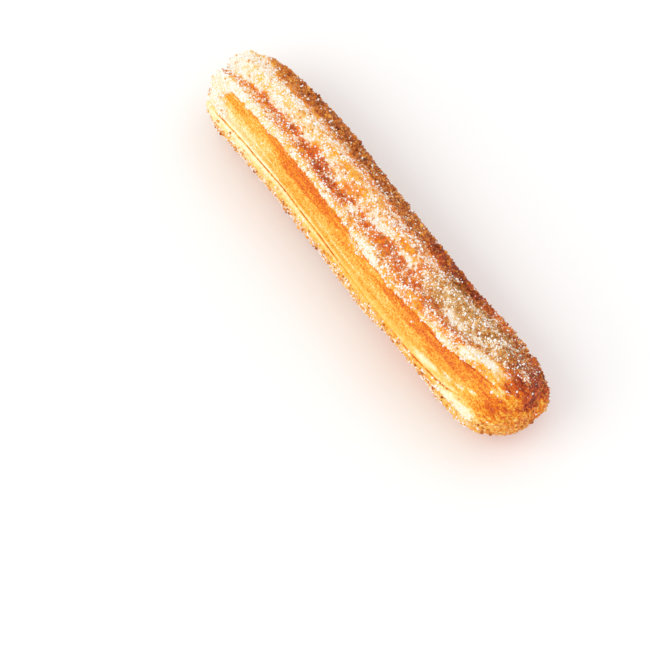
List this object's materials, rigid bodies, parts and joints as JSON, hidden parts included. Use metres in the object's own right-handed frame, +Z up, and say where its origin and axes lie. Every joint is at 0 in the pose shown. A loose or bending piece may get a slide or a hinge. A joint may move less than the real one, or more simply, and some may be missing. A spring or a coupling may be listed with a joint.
{
  "type": "churro",
  "caption": "Ridged stick of fried dough dusted with sugar, with one blunt lobed end and one rounded end, lying flat on two of its ridges.",
  "frame": {"origin": "on the surface the churro lies on, under the middle of its bounding box", "axes": "+X along the churro from its blunt lobed end to its rounded end, +Z up"},
  "size_m": [0.12, 0.0264, 0.0246],
  "materials": {
    "fried_dough": "golden fried choux dough, half matt, with white and browned sugar crystals on its ridges"
  },
  "bodies": {
    "root": {"churro": "fried_dough"}
  },
  "joints": []
}
